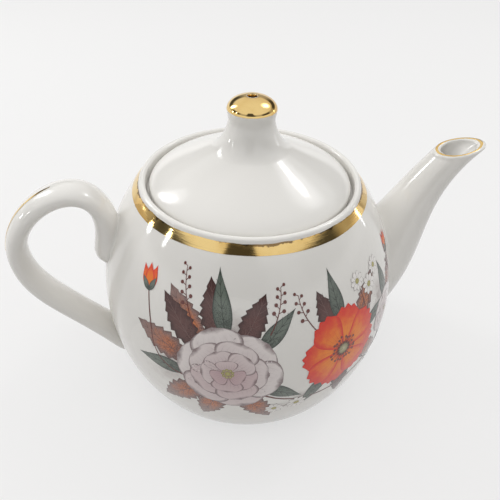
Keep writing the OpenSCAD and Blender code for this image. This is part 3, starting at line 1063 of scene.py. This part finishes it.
def leaf(stamp, group, x, y, angle, length, width, bend, tone, ribs=5):
    press(stamp, group, x, y, angle, length, width, bend, tone)
    stroke([placed(x, y, angle, -4, 0.8), placed(x, y, angle, -2, 0.2), (x, y)], 0.5, 0.2)
    rib = placed(x, y, angle, length * 0.96, bend)
    stroke([(x, y), placed(x, y, angle, length * 0.5), rib], 0.38, 0.7, group, 1.0, 0.006)
    for i in range(1, ribs + 1):
        t = i / (ribs + 1.5)
        base = placed(x, y, angle, length * t, bend * t * t)
        for turn in (32, -32):
            tip = placed(*base, angle + turn, width * 0.62 * sin(pi * t ** 0.8))
            middle = placed(*base, angle + turn * 0.8, width * 0.3)
            stroke([base, middle, tip], 0.22, 0.6, group, 1.0, 0.005)


def rayFlower(x, y, size):
    # a broad orange flower of eight petals, four over four
    for layer in range(2):
        for i in range(4):
            angle = 12 + 45 * layer + 90 * i + brush.uniform(-4, 4)
            press("ray", "orangePetals", x, y, angle, size * brush.uniform(0.94, 1.02), size * 0.74,
                  brush.uniform(-1.5, 1.5), brush.uniform(0, 0.2), layer * 0.014)
    for i in range(22):
        angle = i * 360 / 22 + brush.uniform(-4, 4)
        reach = size * brush.uniform(0.24, 0.34)
        middle = placed(x, y, angle + 3, reach * 0.6)
        stroke([placed(x, y, angle, size * 0.1), middle, placed(x, y, angle, reach)], 0.3, 0.3, extra=0.04)
        dot("sprigStrokes", *placed(x, y, angle, reach), 0.55, extra=0.045)
    dot("flowerHearts", x, y, size * 0.15, tone=0.3)
    for i in range(12):
        dot("sprigStrokes", *placed(x, y, i * 30, size * 0.15), 0.6, extra=0.09)


def rose(x, y, size, turn):
    # rings of broad petals closing on the middle
    sizes = ((6, 1.0, 1.0), (5, 0.74, 0.82), (5, 0.52, 0.6), (3, 0.32, 0.42))
    for ring, (count, long, wide) in enumerate(sizes):
        for i in range(count):
            angle = turn + 23 * ring + i * 360 / count + brush.uniform(-5, 5)
            shade = 0.12 + 0.12 * ring + 0.25 * (sin(radians(angle)) < -0.3)
            press("cup", "rosePetals", x, y, angle, size * long * brush.uniform(0.95, 1.05), size * wide, 0.0,
                  shade, 0.012 * ring + 0.004 * (i % 2))
    for i in range(9):
        dot("flowerHearts", *placed(x, y, i * 40, size * 0.09), size * 0.03, tone=0.6)
    dot("flowerHearts", x, y, size * 0.05, tone=0.8, extra=0.01)


def daisy(x, y, size, turn):
    for i in range(9):
        odd = i % 2
        press("drop", "daisyPetals", x, y, turn + i * 40, size, size * 0.52, 0.0, 0.1 * odd, 0.004 * odd)
    dot("flowerHearts", x, y, size * 0.27, tone=0.75)


def bud(x, y, angle, size):
    stroke([placed(x, y, angle, -size * 1.4, 1.0), placed(x, y, angle, -size * 0.7, 0.6), (x, y)], 0.55, 0.2)
    for turn, wide, extra in ((20, 0.42, 0.0), (-20, 0.42, 0.0), (0, 0.5, 0.02)):
        press("blade", "orangePetals", x, y, angle + turn, size, size * wide, 0.0, 0.2, extra)
    for turn in (34, -34):
        press("blade", "sageLeaves", x, y, angle + turn, size * 0.62, size * 0.24, 0.0, 0.2, 0.07)


def tendril(x, y, angle, length, curl, berries):
    # a curling stalk with berries on short stems
    end = placed(x, y, angle, length, curl)
    stroke([(x, y), placed(x, y, angle, length * 0.6), end], 0.45, 0.5)
    for i in range(berries):
        t = 0.35 + 0.65 * i / (berries - 1)
        base = placed(x, y, angle, length * (t * 1.2 - t * t * 0.2), curl * t * t)
        side = angle + degrees(atan2(2 * curl * t, length)) + (55 if i % 2 else -55)
        tip = placed(*base, side, 2.6 - t)
        stroke([base, placed(*base, side, 1.2), tip], 0.26, 0.2)
        dot("sprigStrokes", *tip, 0.85 - 0.25 * t, tone=0.25, extra=0.006)


def foliage(x, y, spots):
    # leaves that start behind a flower and point away from its middle
    for (stamp, group), angle, start, length, width, lean in spots:
        base = placed(x, y, angle, start)
        leaf(stamp, group, *base, angle + lean, length, width, -0.12 * lean, brush.uniform(0, 0.25))


def paintSpray():
    autumn, dark, sage = ("saw", "autumnLeaves"), ("saw", "darkLeaves"), ("blade", "sageLeaves")
    for x, y, radius, squash in ((22, 24, 20, 0.7), (46, 4, 18, 0.9), (-46, 20, 14, 0.8), (-6, -12, 15, 0.5)):
        press("cloud", "greyMist", x, y, 0, radius, radius * squash)
    stroke([(16, 2), (-4, -20), (-40, -9)], 0.85, 0.2)
    stroke([(-38, -9.5), (-60, -8), (-62.8, 16)], 0.65, 0.4)
    stroke([(30, 2), (50, -2), (52, 17)], 0.65, 0.4)
    foliage(21, 7, ((autumn, -112, 13, 22, 10, -16), (autumn, -76, 12, 22, 10, 12),
                    (autumn, -38, 12, 26, 11, -10), (sage, -12, 14, 24, 7, 10), (autumn, 12, 14, 26, 11, 8),
                    (dark, 38, 14, 25, 9.5, 14), (autumn, 54, 14, 26, 10, -8), (dark, 72, 14, 24, 10, 10),
                    (sage, 88, 14, 27, 7.5, -12), (dark, 108, 14, 21, 9, 12), (sage, 138, 14, 22, 7, -10),
                    (sage, 205, 13, 20, 6.5, 12)))
    foliage(-24, 9, ((dark, 64, 11, 19, 8, 12), (sage, 88, 11, 24, 6.5, -10), (autumn, 126, 11, 22, 9, 10),
                     (sage, 168, 11, 19, 6, -8), (autumn, 218, 11, 20, 8.5, -10), (dark, 262, 10, 19, 8, 10),
                     (sage, -52, 11, 21, 6.5, -12)))
    foliage(-55, 8, ((sage, 76, 6, 20, 6, 10), (autumn, 118, 6, 16, 7.5, -10), (autumn, 226, 6, 16, 7, 10),
                     (sage, 282, 6, 15, 5.5, -10)))
    for spot in ((6, 24, 118, 17, -4.0, 8), (-12, 22, 52, 16, 4.0, 7), (-58, 16, 104, 17, 4.0, 7),
                 (-36, -5, 214, 17, 3.0, 6), (34, 24, 62, 22, 4.0, 9)):
        tendril(*spot)
    rose(21, 7, 20.5, 14)
    rose(-55, 8, 11.0, 40)
    rayFlower(-24, 9, 18.5)
    for x, y, size, turn in ((-41, 29, 4.4, 10), (-34, 33.5, 4.0, 30), (-47, 34, 3.8, 0), (-6, -14.5, 4.4, 0),
                             (3, -16, 4.0, 20)):
        stalk = [(-38, 16), ((x - 38) / 2, y / 2 + 10)] if y > 0 else [(-8, -13), (x, y - 1)]
        stroke(stalk + [(x, y)], 0.4, 0.3)
        daisy(x, y, size, turn)
    bud(56, 31, 78, 10.5)
    bud(-65, 29, 104, 9.5)


brush = random.Random(7)
paintSpray()
for stamp in stamps.values():
    bpy.data.objects.remove(stamp)
for group, parts in sprayPieces.items():
    piece = join(parts, group)
    thicken(piece, 0.006)
    *charts, differences = paints[group]
    colours = {ink: paint(chart) if chart else porcelain["light"] for ink, chart in zip(inks, charts)}
    material = makePrint(group + "Paint", {**printDefaults, **colours, **differences})
    finishPiece(piece, group, material, "pot", smoothAngle=60)
    makeActive(piece)              # the same spray once more on the pot's far side
    bpy.ops.object.duplicate()
    far = bpy.context.object
    far.data.transform(Matrix.Rotation(pi, 4, "Z"))
    finishPiece(far, group + "Far", material, "pot", smoothAngle=60)
print("spray painted")

# camera, floor and light

cameraShot = {
    "azimuth": 14.0,          # turned towards the handle, degrees
    "elevation": 38.59,
    "roll": 1.77,
    "distance": 221.2 * mm,
    "target": Vector((0.8, -0.2, 57.9)) * mm,
    "sensor": 36.0,
    "lens": 36.0,
    "clipStart": 0.01,
}


def makeCamera(shot):
    bpy.ops.object.camera_add()
    camera = bpy.context.object
    camera.name = "shotCamera"
    around = radians(shot["azimuth"])
    up = radians(shot["elevation"])
    away = Vector((-sin(around) * cos(up), -cos(around) * cos(up), sin(up)))
    camera.location = shot["target"] + away * shot["distance"]
    look = (-away).to_track_quat("-Z", "Y").to_matrix() @ Matrix.Rotation(radians(shot["roll"]), 3, "Z")
    camera.rotation_euler = look.to_euler()
    camera.data.sensor_width = shot["sensor"]
    camera.data.lens = shot["lens"]
    camera.data.clip_start = shot["clipStart"]
    bpy.context.scene.camera = camera


studio = {
    "floor": (0.64, 0.63, 0.62),
    "floorGlow": 0.6,        # share of plain white that the lens sees in the floor
    "air": 1.25,
    "ceiling": 0.92,
    "panels": 5.0,            # paler and darker stretches round the wall
    "frontTurn": 1.94,        # a taller dark panel stands this far round from the spout
    "frontRise": 0.24,
    "frontStops": ((0.945, 0.0), (0.985, 1.0)),
    "wallStops": ((0.3, 0.08), (0.9, 0.5)),
    "horizonStops": ((0.08, 0.0), (0.22, 1.0)),
    "ceilingStops": ((0.42, 0.0), (0.54, 1.0)),
    "airStops": ((0.12, 0.12), (1.0, 1.0)),
    "lampDistance": 0.95,
    "lampAimZ": 0.06,
    "lampPatches": 1.4,       # scale and reach of the noise round a lamp's bright middle
    "lampRagged": 2.6,
}


def seenDirectly(tree):
    rays = node(tree, "ShaderNodeLightPath").outputs
    return maths("MAXIMUM", rays["Is Camera Ray"],
                 maths("MAXIMUM", rays["Is Glossy Ray"], rays["Is Transmission Ray"]))


def makeFloor():
    deselectAll()
    bpy.ops.mesh.primitive_plane_add(size=8, location=(0, 0, 0))
    floor = bpy.context.object
    floor.name = "paleFloor"
    material, tree, shader = newMaterial("palePaper")
    feed(shader, {"Base Color": studio["floor"], "Roughness": 0.9})
    glow = node(tree, "ShaderNodeEmission").outputs[0]
    share = times(seenDirectly(tree), studio["floorGlow"])
    mixShaders(share, shader.outputs[0], glow, "Material Output")
    floor.data.materials.append(material)


def makeLamp(name, around, up, size, energy, sizeY=None, core=0.3, glow=0.2):
    # a soft box on a sphere round the pot, facing it, with around and up in degrees
    away = polar(cos(radians(up)), radians(around), sin(radians(up)))
    place = Vector((0, 0, studio["lampAimZ"])) + away * studio["lampDistance"]
    bpy.ops.object.light_add(type="AREA", location=place)
    lamp = bpy.context.object
    lamp.name = name
    lamp.rotation_euler = (-away).to_track_quat("-Z", "Y").to_euler()
    lamp.data.energy = energy
    lamp.data.shape = "RECTANGLE"
    lamp.data.size = size
    lamp.data.size_y = sizeY or size
    lamp.data.use_nodes = True      # a bright middle that fades out to the box's edge
    tree = lamp.data.node_tree
    face = node(tree, "ShaderNodeNewGeometry").outputs["Parametric"]
    off = node(tree, "ShaderNodeVectorMath", {0: face, 1: (0.5, 0.5, 0)}, operation="DISTANCE")
    ragged = minus(noiseValue(face, studio["lampPatches"] / core, 2), 0.5)
    ragged = maths("MULTIPLY_ADD", ragged, core * studio["lampRagged"], off.outputs["Value"])
    fade = ramp(ragged, ((0.0, 1.0), (core * 0.5, 0.9), (core * 2.2, glow), (0.5, 0.0)))
    feed(tree.nodes["Emission"], {"Strength": fade})


def makeWorld():
    # plain white to the lens; the gilding mirrors darker walls between a white horizon and a pale ceiling
    world = bpy.data.worlds.new("studioAir")
    bpy.context.scene.world = world
    world.use_nodes = True
    tree, white = world.node_tree, (1.0, 1.0, 1.0)
    way = split(coordinates(tree, "Generated"))
    turn = maths("ARCTAN2", way["Y"], way["X"])
    wave = maths("COSINE", times(turn, studio["panels"]))
    wall = ramp(maths("MULTIPLY_ADD", wave, 0.5, 0.5), studio["wallStops"])
    front = maths("COSINE", plus(turn, studio["frontTurn"]))
    front = ramp(front, studio["frontStops"])
    rise = maths("MULTIPLY_ADD", front, -studio["frontRise"], way["Z"])
    room = mixColour(ramp(way["Z"], studio["horizonStops"]), white, wall)
    room = mixColour(ramp(rise, studio["ceilingStops"]), room, (studio["ceiling"],) * 3)
    room = mixColour(node(tree, "ShaderNodeLightPath").outputs["Is Camera Ray"], room, white)
    seen = node(tree, "ShaderNodeBackground", {"Color": room})
    air = tree.nodes["Background"]
    feed(air, {"Strength": studio["air"], "Color": ramp(way["Z"], studio["airStops"])})
    mixShaders(seenDirectly(tree), air.outputs[0], seen.outputs[0], "World Output")


makeCamera(cameraShot)
bpy.context.scene.view_settings.view_transform = "Standard"
makeFloor()
makeLamp("backLamp", 138, 33, 0.3, 11.5, 0.62, core=0.15, glow=0.12)
makeLamp("leftLamp", -178, 21, 0.05, 0.6, 0.16)
makeLamp("lowLamp", 163, 13, 0.07, 0.6)
makeLamp("rightLamp", 24, 51.5, 0.5, 16.0, core=0.07, glow=0.14)
makeLamp("sideStrip", 10, 7, 0.03, 0.3, 0.26)
makeWorld()
print("stage set")
